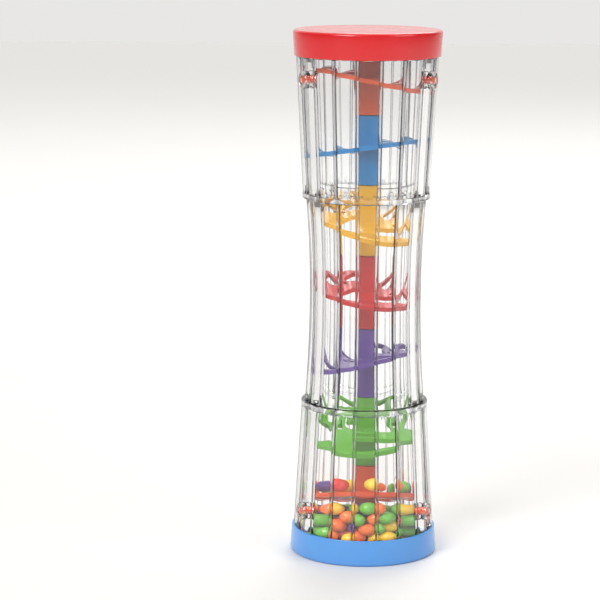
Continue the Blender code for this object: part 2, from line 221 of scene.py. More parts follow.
def add_node(tree, kind, settings=None, inputs=None):
    """A node with its settings; inputs maps a socket to a value or to another node's output."""
    node = tree.nodes.new(kind)
    for key, value in (settings or {}).items():
        setattr(node, key, value)
    for key, value in (inputs or {}).items():
        if isinstance(value, bpy.types.NodeSocket):
            tree.links.new(value, node.inputs[key])
        else:
            node.inputs[key].default_value = value
    return node


def new_material(name):
    """An empty material and its Principled shader, joined to the output."""
    made = bpy.data.materials.new(name)
    made.use_nodes = True
    tree = made.node_tree
    tree.nodes.clear()
    shader = add_node(tree, "ShaderNodeBsdfPrincipled")
    output = add_node(tree, "ShaderNodeOutputMaterial", inputs={"Surface": shader.outputs[0]})
    return made, tree, shader, output


def object_noise(tree, grain, detail=3.0, stretch=(1.0, 1.0, 1.0)):
    """Noise with this grain size in metres, on Object coordinates."""
    place = add_node(tree, "ShaderNodeTexCoord")
    turn = add_node(tree, "ShaderNodeMapping", inputs={"Vector": place.outputs["Object"], "Scale": stretch})
    return add_node(
        tree,
        "ShaderNodeTexNoise",
        inputs={"Vector": turn.outputs[0], "Scale": 1 / grain, "Detail": detail, "Roughness": 0.55},
    )


def math_node(tree, operation, first, second=None):
    """The result of this arithmetic on one or two values."""
    inputs = {0: first} if second is None else {0: first, 1: second}
    return add_node(tree, "ShaderNodeMath", {"operation": operation}, inputs).outputs[0]


def remap(tree, value, source, target):
    """The value carried from one range to another, and held at its ends."""
    inputs = {0: value, 1: source[0], 2: source[1], 3: target[0], 4: target[1]}
    return add_node(tree, "ShaderNodeMapRange", inputs=inputs).outputs[0]


def vary_colour(tree, shader, colour, noise, amount):
    """Base colour that drifts a little darker and lighter with the noise."""
    dark = [c * (1 - amount) for c in colour[:3]] + [1.0]
    light = [min(1.0, c * (1 + amount)) for c in colour[:3]] + [1.0]
    mix = add_node(
        tree, "ShaderNodeMix", {"data_type": "RGBA"}, {0: noise.outputs[0], 6: dark, 7: light}
    )
    tree.links.new(mix.outputs[2], shader.inputs["Base Color"])


def vary_roughness(tree, shader, noise, low, high):
    """Roughness that follows the noise between two values."""
    spread = remap(tree, noise.outputs[0], (0.35, 0.65), (low, high))
    tree.links.new(spread, shader.inputs["Roughness"])


def add_bump(tree, shader, noise, strength, depth):
    """Bump of this depth in metres."""
    bump = add_node(
        tree, "ShaderNodeBump", inputs={"Strength": strength, "Distance": depth, "Height": noise.outputs[0]}
    )
    tree.links.new(bump.outputs[0], shader.inputs["Normal"])


def painted_rib_shade(tree, flutes):
    """Painted shade on the ribs: where the ribs are, from the angle round the tube, strongest where they are
    seen from the side.
    """
    place = add_node(tree, "ShaderNodeTexCoord")
    axes = add_node(tree, "ShaderNodeSeparateXYZ", inputs={0: place.outputs["Object"]})
    turn = math_node(tree, "ARCTAN2", axes.outputs[1], axes.outputs[0])
    crest = math_node(tree, "COSINE", math_node(tree, "MULTIPLY", turn, float(flutes)))
    mask = remap(tree, crest, (0.72, 0.86), (0.0, 1.0))
    edge = add_node(tree, "ShaderNodeLayerWeight", inputs={"Blend": 0.5})
    aside = remap(tree, edge.outputs["Facing"], (0.0, 0.3), (0.25, 1.0))
    return math_node(tree, "MULTIPLY", mask, aside)


def clear_polystyrene(flutes):
    """Clear moulded polystyrene: hard, bright and glassy, with painted shade that greys it and its ribs where
    seen edge on.
    """
    made, tree, shader, output = new_material("clear_polystyrene_moulded")
    shader.inputs["IOR"].default_value = 1.58
    shader.inputs["Transmission Weight"].default_value = 1.0
    noise = object_noise(tree, 9 * MM, 2.0, (1.0, 1.0, 0.25))
    vary_roughness(tree, shader, noise, 0.0, 0.035)
    add_bump(tree, shader, noise, 0.12, 0.05 * MM)
    # Painted shade: the base colour runs from near white to dark grey where the surface is seen edge on, in
    # place of the dark edges that refraction gives.
    edge = add_node(tree, "ShaderNodeLayerWeight", inputs={"Blend": 0.5})
    ramp = add_node(tree, "ShaderNodeValToRGB", inputs={"Fac": edge.outputs["Facing"]})
    ramp.color_ramp.elements[0].position = 0.45
    ramp.color_ramp.elements[0].color = (0.985, 0.99, 0.995, 1)
    ramp.color_ramp.elements[1].position = 1.0
    ramp.color_ramp.elements[1].color = (0.10, 0.10, 0.13, 1)
    # Painted shade: the ribs seen from the side are multiplied down to grey, in place of the dark that
    # refraction gives them.
    painted_edge_shade = add_node(
        tree,
        "ShaderNodeMix",
        {"data_type": "RGBA", "blend_type": "MULTIPLY"},
        {"Factor": painted_rib_shade(tree, flutes), 6: ramp.outputs[0], 7: (0.44, 0.44, 0.47, 1)},
    )
    tree.links.new(painted_edge_shade.outputs[2], shader.inputs["Base Color"])
    lamps = add_node(tree, "ShaderNodeLightPath")
    through = add_node(tree, "ShaderNodeBsdfTransparent", inputs={"Color": (0.96, 0.96, 0.97, 1)})
    mix = add_node(
        tree,
        "ShaderNodeMixShader",
        inputs={0: lamps.outputs["Is Shadow Ray"], 1: shader.outputs[0], 2: through.outputs[0]},
    )
    tree.links.new(mix.outputs[0], output.inputs["Surface"])
    return made


def moulded_abs(name, colour):
    """Glossy injection-moulded ABS: even colour, a clean shine with a trace of orange peel."""
    made, tree, shader, _ = new_material(name)
    noise = object_noise(tree, 6 * MM)
    vary_colour(tree, shader, colour, noise, 0.05)
    vary_roughness(tree, shader, noise, 0.16, 0.27)
    add_bump(tree, shader, object_noise(tree, 1.2 * MM, 2.0), 0.05, 0.03 * MM)
    shader.inputs["Coat Weight"].default_value = 0.3
    shader.inputs["Coat Roughness"].default_value = 0.08
    return made


def tinted_polystyrene(name, colour, clear=0.32):
    """Tinted polystyrene, moulded about 2 mm thick: deep colour, and light shows through thin places."""
    made, tree, shader, _ = new_material(name)
    noise = object_noise(tree, 7 * MM)
    vary_colour(tree, shader, colour, noise, 0.10)
    vary_roughness(tree, shader, noise, 0.12, 0.24)
    add_bump(tree, shader, object_noise(tree, 2 * MM, 2.0), 0.06, 0.04 * MM)
    shader.inputs["Transmission Weight"].default_value = clear
    shader.inputs["IOR"].default_value = 1.5
    shader.inputs["Specular IOR Level"].default_value = 0.2
    return made


def bead_polystyrene(name, colour):
    """Glossy round moulded beads, almost opaque, with a faint mottling from the tumbling barrel."""
    made, tree, shader, _ = new_material(name)
    noise = object_noise(tree, 3 * MM)
    vary_colour(tree, shader, colour, noise, 0.16)
    vary_roughness(tree, shader, noise, 0.14, 0.30)
    add_bump(tree, shader, object_noise(tree, 0.8 * MM, 2.0), 0.05, 0.02 * MM)
    return made


def natural_polypropylene():
    """Uncoloured moulded polypropylene: milky white with a waxy surface."""
    made, tree, shader, _ = new_material("natural_polypropylene_moulded")
    noise = object_noise(tree, 4 * MM)
    vary_colour(tree, shader, linear("#E9E7E0"), noise, 0.04)
    vary_roughness(tree, shader, noise, 0.40, 0.50)
    return made


def painted_floor(colour):
    """Matt pale painted board with a very fine tooth."""
    made, tree, shader, _ = new_material("matt_painted_board")
    noise = object_noise(tree, 30 * MM)
    vary_colour(tree, shader, colour, noise, 0.015)
    vary_roughness(tree, shader, noise, 0.55, 0.65)
    return made


# ---------------------------------------------------------------- geometry


def polar(radius, azimuth, z):
    """A point at this radius and azimuth, measured from -Y towards +X."""
    return (radius * math.sin(azimuth), -radius * math.cos(azimuth), z)


def link_mesh(name, points, faces, surface, angle=32.0):
    """A piece with its place in its mesh, smooth except at edges sharper than the angle."""
    mesh = bpy.data.meshes.new(name)
    mesh.from_pydata([tuple(p) for p in points], [], faces)
    shape = bmesh.new()
    shape.from_mesh(mesh)
    bmesh.ops.remove_doubles(shape, verts=shape.verts, dist=1e-7)
    bmesh.ops.recalc_face_normals(shape, faces=shape.faces)
    shape.to_mesh(mesh)
    shape.free()
    mesh.shade_smooth()
    mesh.set_sharp_from_angle(angle=math.radians(angle))
    mesh.materials.append(surface)
    made = bpy.data.objects.new(name, mesh)
    bpy.context.scene.collection.objects.link(made)
    return made


def ring_quads(first, second, count):
    """Quads between two closed rings that start at these indices."""
    return [
        (first + i, first + (i + 1) % count, second + (i + 1) % count, second + i) for i in range(count)
    ]


def lathe(name, outline, segments, surface, angle=32.0):
    """A solid of revolution about Z. The outline's first and last points are on the axis."""
    points = [(0, 0, outline[0][1])]
    for radius, z in outline[1:-1]:
        points += [polar(radius, 2 * math.pi * i / segments, z) for i in range(segments)]
    points.append((0, 0, outline[-1][1]))
    faces = []
    last = len(points) - 1
    top = last - segments
    for i in range(segments):
        j = (i + 1) % segments
        faces.append((0, 1 + j, 1 + i))
        faces.append((last, top + i, top + j))
    for index in range(len(outline) - 3):
        start = 1 + index * segments
        faces += ring_quads(start, start + segments, segments)
    return link_mesh(name, points, faces, surface, angle)


def arc(middle, radius, start, end, steps):
    """Points along an arc in the outline's plane, angles in degrees from +radius towards +z."""
    points = []
    for i in range(steps + 1):
        turn = math.radians(start + (end - start) * i / steps)
        points.append((middle[0] + radius * math.cos(turn), middle[1] + radius * math.sin(turn)))
    return points


def place_mesh(piece, matrix):
    """Moves a piece by changing its mesh, so that its object stays at the origin."""
    piece.data.transform(matrix)
    piece.data.update()
    return piece


def claim(piece, body, slot, *nodes):
    """The piece rides on a body and stands for these nodes, which it hides; the slot is not used."""
    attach(piece, body)
    if nodes:
        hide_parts(*nodes)


def crest_radius(tube, z):
    """Radius over the crowns at height z."""
    if LOWER_JOINT <= z <= UPPER_JOINT:
        joint = UPPER_JOINT if z > MIDDLE else LOWER_JOINT
        share = (z - MIDDLE) / (joint - MIDDLE)
        return tube.crest_waist + (tube.crest_waist_end - tube.crest_waist) * share**2
    joint, end = (UPPER_JOINT, HEIGHT - CAP_DEPTH) if z > MIDDLE else (LOWER_JOINT, CAP_DEPTH)
    share = min(1.0, (z - joint) / (end - joint))
    return tube.crest_joint + (tube.crest_end - tube.crest_joint) * share


def bore_radius(tube, z):
    """Radius of the inside of the tube between the spigots."""
    return crest_radius(tube, z) - tube.depth - tube.wall


FLUTE_STEPS = 12
RIB_STEPS = 8
END_RINGS = 16
WAIST_RINGS = 36


def fluted_outline(tube, root, depth, z):
    """One turn of the outside: thin round ribs with a convex flute between each two."""
    points = []
    half = math.pi / tube.flutes
    foot = tube.rib_width / 2 / root
    rib = tube.rib_height if depth else 0.0
    for flute in range(tube.flutes):
        middle = 2 * half * (flute + 0.5)
        for step in range(RIB_STEPS + 1):
            turn = math.pi * step / RIB_STEPS
            points.append(polar(root + rib * math.sin(turn), middle - foot * math.cos(turn), z))
        for step in range(1, FLUTE_STEPS):
            share = 2 * step / FLUTE_STEPS - 1
            azimuth = middle + half + share * (half - foot)
            points.append(polar(root + depth * (1 - share**2), azimuth, z))
    return points


def tube_section(name, outside, inside, tube, surface):
    """A clear section from outer stations (z, root, depth) and inner stations (z, radius), bottom to top."""
    around = tube.flutes * (FLUTE_STEPS + RIB_STEPS)
    points = []
    faces = []
    for index, (z, root, depth) in enumerate(outside):
        points += fluted_outline(tube, root, depth, z)
        if index:
            faces += ring_quads((index - 1) * around, index * around, around)
    start = len(points)
    for index, (z, radius) in enumerate(inside):
        points += fluted_outline(tube, radius, 0, z)
        if index:
            faces += ring_quads(start + (index - 1) * around, start + index * around, around)
    faces += ring_quads(0, start, around)
    faces += ring_quads((len(outside) - 1) * around, start + (len(inside) - 1) * around, around)
    return link_mesh(name, points, faces, surface)


def spread(low, high, steps):
    """Evenly spaced heights, both ends included."""
    return [low + (high - low) * i / steps for i in range(steps + 1)]


def end_section(name, joint, end, tube, surface):
    """An end section: a rounded collar at the joint, flutes as far as the cap, a plain spigot in the cap."""
    up = 1 if end > joint else -1
    step = 0.25 * MM
    collar_r = tube.crest_joint + FIT
    collar_end = joint + up * tube.collar
    flutes_end = end - up * GAP
    spigot_r = tube.crest_end - tube.depth - FIT
    mouth = end + up * (CAP_DEPTH - CAP_FLOOR - GAP)
    outside = [(joint, collar_r - step, 0), (joint + up * step, collar_r, 0)]
    outside += [(collar_end - up * step, collar_r, 0), (collar_end, collar_r - step, 0)]
    for z in spread(collar_end + up * step, flutes_end, END_RINGS):
        outside.append((z, crest_radius(tube, z) - tube.depth, tube.depth))
    outside += [(flutes_end + up * step, spigot_r, 0), (mouth, spigot_r, 0)]
    bore = tube.crest_joint - tube.depth - tube.wall
    inside = [(joint, bore), (joint + up * tube.spigot, bore)]
    for z in spread(joint + up * (tube.spigot + 2 * MM), end, END_RINGS // 2):
        inside.append((z, bore_radius(tube, z)))
    inside.append((mouth, spigot_r - tube.wall))
    if up < 0:
        outside.reverse()
        inside.reverse()
    return tube_section(name, outside, inside, tube, surface)


def waist_section(tube, surface):
    """The narrow middle section, with plain ends that slide into the end sections."""
    spigot = tube.crest_joint - tube.depth - tube.wall - FIT
    low = LOWER_JOINT + GAP
    high = UPPER_JOINT - GAP
    outside = [(LOWER_JOINT - tube.spigot, spigot, 0), (low - FIT, spigot, 0)]
    for z in spread(low, high, WAIST_RINGS):
        outside.append((z, crest_radius(tube, z) - tube.depth, tube.depth))
    outside += [(high + FIT, spigot, 0), (UPPER_JOINT + tube.spigot, spigot, 0)]
    inside = [(LOWER_JOINT - tube.spigot, spigot - tube.wall), (low, spigot - tube.wall)]
    for z in spread(low + tube.spigot, high - tube.spigot, WAIST_RINGS - 6):
        inside.append((z, bore_radius(tube, z)))
    inside += [(high, spigot - tube.wall), (UPPER_JOINT + tube.spigot, spigot - tube.wall)]
    return tube_section("tube_waist", outside, inside, tube, surface)


def rim_facts(name):
    """Rim radius, middle height and slopes of a CAD plate, read from the vertices of its rim."""
    points = np.array([v.co for v in frame["nodes"][name].data.vertices])
    radii = np.hypot(points[:, 0], points[:, 1])
    rim = points[radii > radii.max() - 0.1 * MM]
    table = np.column_stack([np.ones(len(rim)), rim[:, 0], rim[:, 1]])
    middle, right, back = np.linalg.lstsq(table, rim[:, 2], rcond=None)[0]
    return radii.max(), middle, right, back


UNIT_CELLS = 64
NARROW_END = 0.85
NARROW_SPAN = 0.35


def unit_mesh(name, units, surface):
    """One baffle unit: column and tilted plate in one closed skin, rounded by subdivision."""
    rim, middle, right, back = rim_facts(name)
    low, high = (corner[2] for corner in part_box(name))
    half = units.plate / 2
    start_side = math.atan2(-right, back) + units.arm_turn
    cells = UNIT_CELLS
    per_arm = cells // units.arms
    holes = (units.column + 1.3 * MM, units.hub - 1.1 * MM)
    inner_rim = rim - units.rim
    radii = [units.column, holes[0], holes[1], units.hub]
    radii += [units.hub + (inner_rim - units.hub) * k / 4 for k in (1, 2, 3)]
    radii += [inner_rim, rim]
    hub_ring = 3
    rim_ring = len(radii) - 2

    def ring(radius, height, flat):
        share = min(1.0, max(0.0, (radius - units.hub) / (inner_rim - units.hub)))
        points = []
        for i in range(cells):
            azimuth = start_side + 2 * math.pi * i / cells + units.swirl * (share - 0.5)
            along = (i / per_arm + 0.5) % 1
            past = along - NARROW_END if along > 0.5 else along + 1 - NARROW_END
            taper = max(0.0, 1 - abs(past) / NARROW_SPAN)
            reach = radius + units.leaf * taper * (1 - share) if radius >= units.hub else radius
            x, y, _ = polar(reach, azimuth, 0)
            points.append((x, y, height if flat else middle + right * x + back * y + height))
        return points

    def solid(band, cell):
        """Whether the plate has material between ring band and band + 1 at this cell."""
        in_arm = (cell + per_arm // 2) % per_arm
        centred = min(in_arm, per_arm - 1 - in_arm)
        if band == 1:
            return not 5 <= centred <= 7
        if hub_ring <= band < rim_ring:
            return centred <= 1
        return True

    points = []
    for height in (half, -half):
        for radius in radii:
            points += ring(radius, height, False)
    levels = len(radii)
    faces = []
    for band in range(levels - 1):
        for cell in range(cells):
            if not solid(band, cell):
                continue
            after = (cell + 1) % cells
            for side in (0, 1):
                inner = (side * levels + band) * cells
                outer = inner + cells
                faces.append((inner + cell, inner + after, outer + after, outer + cell))
    edges = {}
    for face in faces:
        for k in range(4):
            pair = (face[k], face[(k + 1) % 4])
            edges[tuple(sorted(pair))] = edges.get(tuple(sorted(pair)), 0) + 1
    shift = levels * cells
    for (a, b), count in edges.items():
        if count == 1 and a < shift and b < shift and not (a < cells and b < cells):
            faces.append((a, b, b + shift, a + shift))
    lip = 0.25 * MM
    top_stack = [(units.column, half + 0.5 * MM, False), (units.column, high - 2 * lip, True)]
    top_stack += [(units.column, high - lip / 2, True), (units.column - lip, high, True)]
    top_stack += [(units.bore + lip / 2, high, True), (units.bore, high - lip, True)]
    low_stack = [(units.bore, low + lip, True), (units.bore + lip / 2, low, True)]
    low_stack += [(units.column - lip, low, True), (units.column, low + lip / 2, True)]
    low_stack += [(units.column, low + 2 * lip, True), (units.column, -half - 0.5 * MM, False)]
    previous = 0
    for radius, height, flat in top_stack + low_stack:
        start = len(points)
        points += ring(radius, height, flat)
        faces += ring_quads(previous, start, cells)
        previous = start
    faces += ring_quads(previous, shift, cells)
    return link_mesh(name.replace("baffle", "unit"), points, faces, surface, 60.0)


def soften(piece, levels):
    """Rounds a piece by subdivision, with creases that keep its plate edges crisp."""
    mesh = piece.data
    shape = bmesh.new()
    shape.from_mesh(mesh)
    crease = shape.edges.layers.float.new("crease_edge")
    for edge in shape.edges:
        if len(edge.link_faces) == 2 and edge.calc_face_angle() > math.radians(55):
            edge[crease] = 0.55
    shape.to_mesh(mesh)
    shape.free()
    mesh.shade_smooth()
    modifier = piece.modifiers.new("Rounding", "SUBSURF")
    modifier.levels = levels
    modifier.render_levels = levels


def bead_tree():
    """Geometry nodes: a round bead on each point, realised, smooth and with its material."""
    tree = bpy.data.node_groups.new("Beads on points", "GeometryNodeTree")
    for name, kind in (
        ("Geometry", "NodeSocketGeometry"),
        ("Radius", "NodeSocketFloat"),
        ("Detail", "NodeSocketInt"),
        ("Material", "NodeSocketMaterial"),
    ):
        tree.interface.new_socket(name, in_out="INPUT", socket_type=kind)
    tree.interface.new_socket("Geometry", in_out="OUTPUT", socket_type="NodeSocketGeometry")
    source = add_node(tree, "NodeGroupInput")
    points = add_node(tree, "GeometryNodeMeshToPoints", inputs={"Mesh": source.outputs["Geometry"]})
    ball = add_node(
        tree,
        "GeometryNodeMeshIcoSphere",
        inputs={"Radius": source.outputs["Radius"], "Subdivisions": source.outputs["Detail"]},
    )
    turn = add_node(
        tree,
        "FunctionNodeRandomValue",
        {"data_type": "FLOAT_VECTOR"},
        {0: (0.0, 0.0, 0.0), 1: (6.28, 6.28, 6.28), "Seed": 5},
    )
    copies = add_node(
        tree,
        "GeometryNodeInstanceOnPoints",
        inputs={"Points": points.outputs[0], "Instance": ball.outputs[0], "Rotation": turn.outputs[0]},
    )
    real = add_node(tree, "GeometryNodeRealizeInstances", inputs={0: copies.outputs[0]})
    smooth = add_node(tree, "GeometryNodeSetShadeSmooth", inputs={0: real.outputs[0]})
    paint = add_node(
        tree, "GeometryNodeSetMaterial", inputs={0: smooth.outputs[0], "Material": source.outputs["Material"]}
    )
    add_node(tree, "NodeGroupOutput", inputs={0: paint.outputs[0]})
    return tree


def beads_piece(name, centres, radius, detail, surface):
    """One piece of round beads at these centres."""
    tree = bpy.data.node_groups.get("Beads on points") or bead_tree()
    mesh = bpy.data.meshes.new(name)
    mesh.from_pydata([tuple(c) for c in centres], [], [])
    holder = bpy.data.objects.new(name, mesh)
    bpy.context.scene.collection.objects.link(holder)
    modifier = holder.modifiers.new("Beads", "NODES")
    modifier.node_group = tree
    named = {item.name: item.identifier for item in tree.interface.items_tree if item.in_out == "INPUT"}
    modifier[named["Radius"]] = radius
    modifier[named["Detail"]] = detail
    modifier[named["Material"]] = surface
    graph = bpy.context.evaluated_depsgraph_get()
    plain = bpy.data.meshes.new_from_object(holder.evaluated_get(graph))
    holder.modifiers.clear()
    holder.data = plain
    plain.name = name
    return holder


SETTLE_ROUNDS = 400
PUSH_SHARE = 0.35
SINK = 0.02 * MM


def packed_bed(beads, tube, units):
    """Centres of the beads under the lowest plate, pushed apart until they rest against each other."""
    rng = np.random.default_rng(beads.seed)
    radius = beads.radius
    _, middle, right, back = rim_facts(UNITS[-1])
    slope = math.hypot(1, math.hypot(right, back))
    travel = next(j["range_m"][1] for j in frame["joints"] if j["child"] == "bead_bed")
    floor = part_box(BED[0])[0][2] + 0.1 * MM + radius
    wall = bore_radius(tube, CAP_DEPTH) - 1.5 * MM - radius
    core = units.column + radius + 0.1 * MM
    under_pins = min(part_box(name)[0][2] for name in PINS) - travel - radius - 0.3 * MM
    count = beads.count
    angle = rng.uniform(0, 2 * math.pi, count)
    reach = np.sqrt(rng.uniform(core**2, wall**2, count))
    places = np.column_stack([reach * np.sin(angle), -reach * np.cos(angle), np.zeros(count)])
    roof_drop = units.plate / 2 + radius * slope + travel + 0.2 * MM

    def roof(p):
        return middle + right * p[:, 0] + back * p[:, 1] - roof_drop

    places[:, 2] = floor + rng.uniform(0, 1, count) * (roof(places) - floor)
    for _ in range(SETTLE_ROUNDS):
        offset = places[:, None, :] - places[None, :, :]
        apart = np.linalg.norm(offset, axis=2) + np.eye(count)
        push = np.clip(2 * radius - apart, 0, None) * (1 - np.eye(count))
        places += PUSH_SHARE * (offset / apart[:, :, None] * push[:, :, None]).sum(axis=1)
        places[:, 2] -= SINK
        out = np.hypot(places[:, 0], places[:, 1])
        wanted = np.clip(out, core, np.where(places[:, 2] > under_pins, wall - 0.8 * MM, wall))
        places[:, :2] *= (wanted / out)[:, None]
        places[:, 2] = np.clip(places[:, 2], floor, np.maximum(floor, roof(places)))
    return places, rng


PIN_SHANK_R = 1.55 * MM
PIN_HEAD_R = 2.7 * MM
PIN_HEAD_DEPTH = 0.8 * MM
EYELET_HOLE_R = 1.75 * MM
EYELET_R = 3.5 * MM


def pin_outline(tip, shank, head, depth):
    """Outline of a headed pin from the head's face to a rounded tip, from 0 up to tip."""
    soft = 0.25 * MM
    outline = [(0, 0), (head - soft, 0)]
    outline += arc((head - soft, soft), soft, -90, 0, 4)[1:]
    outline += [(head, depth - soft), (head - soft, depth), (shank, depth)]
    outline += arc((shank - soft, tip - soft), soft, 0, 90, 4)
    outline.append((0, tip))
    return outline


# ---------------------------------------------------------------- operators


class RAINSTICK_OT_tube(bpy.types.Operator):
    """Make the three clear sections of the tube"""

    bl_idname = "rainstick.tube"
    bl_label = "Clear tube"

    def execute(self, context):
        tube = context.scene.rainstick_tube
        surface = clear_polystyrene(tube.flutes)
        upper = end_section("tube_upper", UPPER_JOINT, HEIGHT - CAP_DEPTH, tube, surface)
        claim(upper, "root", "clear_shell", "shell_upper")
        lower = end_section("tube_lower", LOWER_JOINT, CAP_DEPTH, tube, surface)
        claim(lower, "root", "clear_shell", "shell_lower")
        claim(waist_section(tube, surface), "root", "clear_shell", "shell_waist")
        return {"FINISHED"}


class RAINSTICK_OT_eyelets(bpy.types.Operator):
    """Make the round eyelets and the pins"""

    bl_idname = "rainstick.eyelets"
    bl_label = "Eyelets and pins"

    def execute(self, context):
        tube = context.scene.rainstick_tube
        clear = bpy.data.materials["clear_polystyrene_moulded"]
        orange = moulded_abs("orange_abs_moulded", linear("#F0552C"))
        lying = Matrix.Rotation(math.pi / 2, 4, "X")
        for name in PINS:
            low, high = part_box(name)
            centre = [(a + b) / 2 for a, b in zip(low, high)]
            azimuth = math.atan2(centre[0], -centre[1])
            turn = Matrix.Rotation(azimuth, 4, "Z")
            z = centre[2]
            points = [v.co for v in frame["nodes"][name].data.vertices]
            along = [p.x * math.sin(azimuth) - p.y * math.cos(azimuth) for p in points]
            start, tip = min(along), max(along)
            outline = pin_outline(tip - start, PIN_SHANK_R, PIN_HEAD_R, PIN_HEAD_DEPTH)
            made = lathe(name.replace("pin", "stud"), outline, 24, orange)
            shift = Matrix.Translation((0, 0, z)) @ turn @ lying
            place_mesh(made, shift @ Matrix.Translation((0, 0, start)))
            claim(made, "root", "pin_orange", name)
            wall = crest_radius(tube, z) - GAP
            depth = tip + GAP - wall
            soft = 0.35 * MM
            foot = 0.05 * MM
            ring = [(EYELET_HOLE_R, foot), (EYELET_R, foot), (EYELET_R, depth - soft)]
            ring += arc((EYELET_R - soft, depth - soft), soft, 0, 90, 5)[1:]
            ring += [(EYELET_HOLE_R + 0.2 * MM, depth), (EYELET_HOLE_R, depth - 0.2 * MM)]
            grommet = closed_ring(name.replace("pin", "eyelet"), ring, 32, clear)
            place_mesh(grommet, shift @ Matrix.Translation((0, 0, wall)))
            claim(grommet, "root", "clear_shell")
        return {"FINISHED"}


def closed_ring(name, outline, segments, surface):
    """A ring from a closed outline that stays off the axis."""
    points = []
    faces = []
    for index, (radius, z) in enumerate(outline):
        points += [polar(radius, 2 * math.pi * i / segments, z) for i in range(segments)]
        after = (index + 1) % len(outline) * segments
        faces += ring_quads(index * segments, after, segments)
    return link_mesh(name, points, faces, surface)


class RAINSTICK_OT_caps(bpy.types.Operator):
    """Make the two end caps"""

    bl_idname = "rainstick.caps"
    bl_label = "End caps"

    def execute(self, context):
        colours = context.scene.rainstick_colours
        red = moulded_abs("red_abs_moulded", colours.cap_top)
        self.cap("cap_top", "end_cap_top", HEIGHT, 1, red, "cap_red")
        blue = moulded_abs("blue_abs_moulded", colours.cap_bottom)
        self.cap("cap_bottom", "end_cap_bottom", 0.0, -1, blue, "cap_blue")
        return {"FINISHED"}

    def cap(self, name, node, face, up, surface, slot):
        """A flat-faced cap with a rounded edge, a slight taper and a softened lip."""
        edge = 1.2 * MM
        lip = 0.3 * MM
        lip_r = CAP_R - 0.6 * MM
        rod_r = 2.6 * MM
        tube = bpy.context.scene.rainstick_tube
        socket = tube.crest_end - tube.depth + FIT
        floor = CAP_FLOOR
        outline = [(0, 0), (0.5 * CAP_R, 0)]
        outline += [(r, -z) for r, z in arc((CAP_R - edge, -edge), edge, 90, 0, 8)]
        outline += [(r, z) for r, z in arc((lip_r - lip, CAP_DEPTH - lip), lip, 0, 90, 5)]
        outline += [(r, z) for r, z in arc((socket + lip, CAP_DEPTH - lip), lip, 90, 180, 4)]
        outline += [(socket, floor), (rod_r, floor), (rod_r, floor / 2), (0, floor / 2)]
        claim(lathe(name, [(r, face - up * z) for r, z in outline], 128, surface), "root", slot, node)


UNIT_SLOTS = ("orange", "blue", "yellow", "red", "purple", "green", "orange")


class RAINSTICK_OT_units(bpy.types.Operator):
    """Make the seven baffle units"""

    bl_idname = "rainstick.units"
    bl_label = "Baffle units"

    def execute(self, context):
        units = context.scene.rainstick_units
        colours = context.scene.rainstick_colours
        for name, colour in zip(UNITS, UNIT_SLOTS):
            surface = bpy.data.materials.get(f"{colour}_polystyrene_tinted") or tinted_polystyrene(
                f"{colour}_polystyrene_tinted", getattr(colours, colour)
            )
            piece = unit_mesh(name, units, surface)
            soften(piece, 1)
            claim(piece, "root", f"plate_{colour}", name)
        return {"FINISHED"}


class RAINSTICK_OT_rod(bpy.types.Operator):
    """Make the rod through the column"""

    bl_idname = "rainstick.rod"
    bl_label = "Core rod"

    def execute(self, context):
        low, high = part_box("core_rod")
        soft = 0.4 * MM
        radius = high[0]
        outline = [(0, low[2])]
        outline += arc((radius - soft, low[2] + soft), soft, -90, 0, 4)
        outline += arc((radius - soft, high[2] - soft), soft, 0, 90, 4)
        outline.append((0, high[2]))
        claim(lathe("rod", outline, 32, natural_polypropylene()), "root", "rod_white", "core_rod")
        return {"FINISHED"}


BEAD_NAMES = ("yellow", "orange", "green", "purple", "red")


def bead_surface(colour, colours):
    """The bead material of this colour, made once."""
    name = f"{colour}_bead_polystyrene"
    return bpy.data.materials.get(name) or bead_polystyrene(name, getattr(colours, f"bead_{colour}"))


class RAINSTICK_OT_bed(bpy.types.Operator):
    """Make the bed of beads under the lowest plate"""

    bl_idname = "rainstick.bed"
    bl_label = "Bead bed"

    def execute(self, context):
        scene = context.scene
        beads = scene.rainstick_beads
        places, rng = packed_bed(beads, scene.rainstick_tube, scene.rainstick_units)
        kinds = rng.integers(0, len(BEAD_NAMES), len(places))
        for number, colour in enumerate(BEAD_NAMES):
            surface = bead_surface(colour, scene.rainstick_colours)
            piece = beads_piece(f"bed_beads_{colour}", places[kinds == number], beads.radius, 2, surface)
            claim(piece, "bead_bed", f"bead_{colour}", *BED[number :: len(BEAD_NAMES)])
        return {"FINISHED"}


class RAINSTICK_OT_loose(bpy.types.Operator):
    """Make the loose beads on the lowest plate, each on its own slide"""

    bl_idname = "rainstick.loose"
    bl_label = "Loose beads"

    def execute(self, context):
        scene = context.scene
        radius = scene.rainstick_beads.radius
        for number, name in enumerate(LOOSE):
            low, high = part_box(name)
            centre = [(a + b) / 2 for a, b in zip(low, high)]
            colour = BEAD_NAMES[number % len(BEAD_NAMES)]
            surface = bead_surface(colour, scene.rainstick_colours)
            piece = beads_piece(name.replace("bead", "loose_bead"), [centre], radius, 4, surface)
            claim(piece, name.replace("bead", "loose"), f"bead_{colour}", name)
        return {"FINISHED"}


